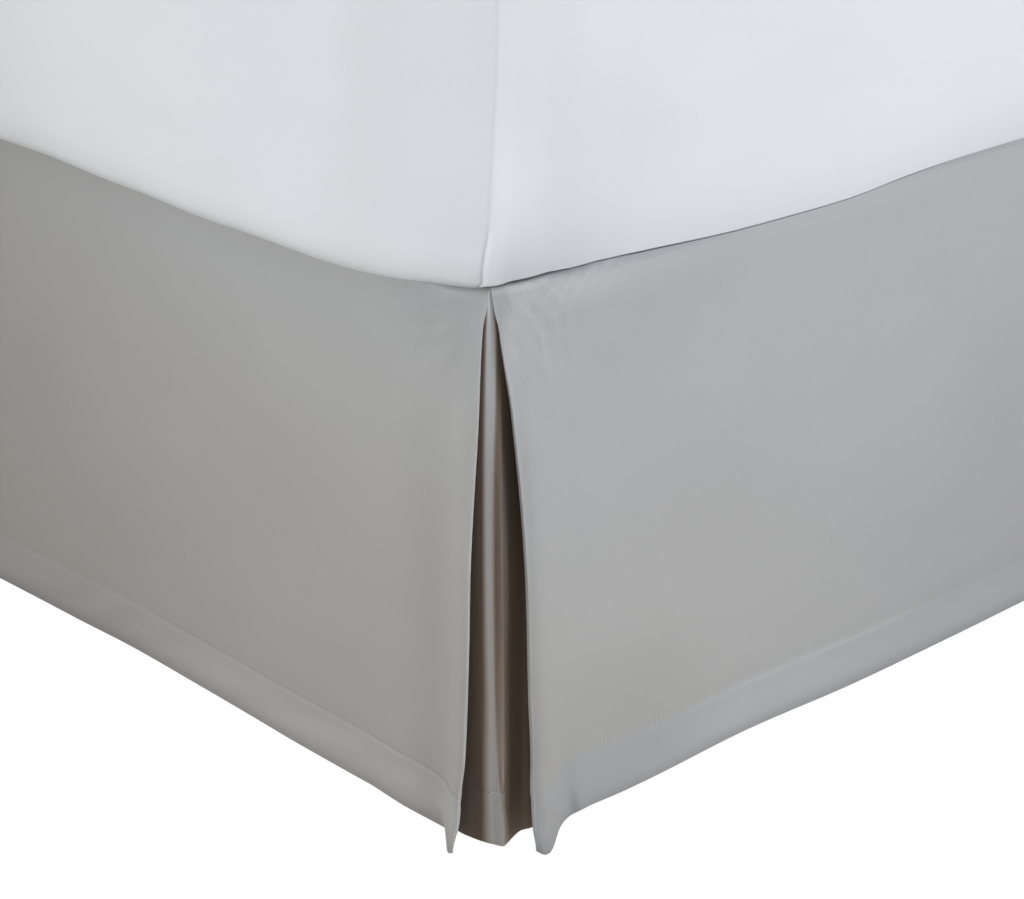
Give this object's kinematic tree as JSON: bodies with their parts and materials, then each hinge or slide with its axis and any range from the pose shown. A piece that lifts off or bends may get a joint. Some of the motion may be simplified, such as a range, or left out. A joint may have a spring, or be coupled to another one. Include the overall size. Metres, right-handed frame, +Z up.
{
  "type": "bed skirt on a bed",
  "caption": "Tailored bed skirt with plain hanging panels, open corner pleats and corner inserts, shown on a plain bed.",
  "frame": {"origin": "middle of the bed on the floor, at the bottom of the overall box", "axes": "+Z up, +Y from the foot of the bed towards its head, +X to the side that is on the right for someone at the foot looking at the head"},
  "size_m": [1.586, 2.116, 0.6516],
  "materials": {
    "skirt_cloth": "smooth grey sateen with a soft sheen",
    "insert_cloth": "the same sateen, darker in the shade of the pleat",
    "deck_cloth": "plain matte woven cloth",
    "sheet_cloth": "smooth white cotton sheet",
    "base_cloth": "coarse woven upholstery cloth",
    "leg_wood": "dark stained wood, satin"
  },
  "bodies": {
    "root": {"foot_panel": "skirt_cloth", "side_panel_right": "skirt_cloth", "side_panel_left": "skirt_cloth", "corner_insert_right": "insert_cloth", "corner_insert_left": "insert_cloth", "skirt_deck": "deck_cloth", "mattress": "sheet_cloth", "bed_base": "base_cloth", "leg_foot_right": "leg_wood", "leg_foot_left": "leg_wood", "leg_middle_right": "leg_wood", "leg_middle_left": "leg_wood", "leg_head_right": "leg_wood", "leg_head_left": "leg_wood"}
  },
  "joints": []
}
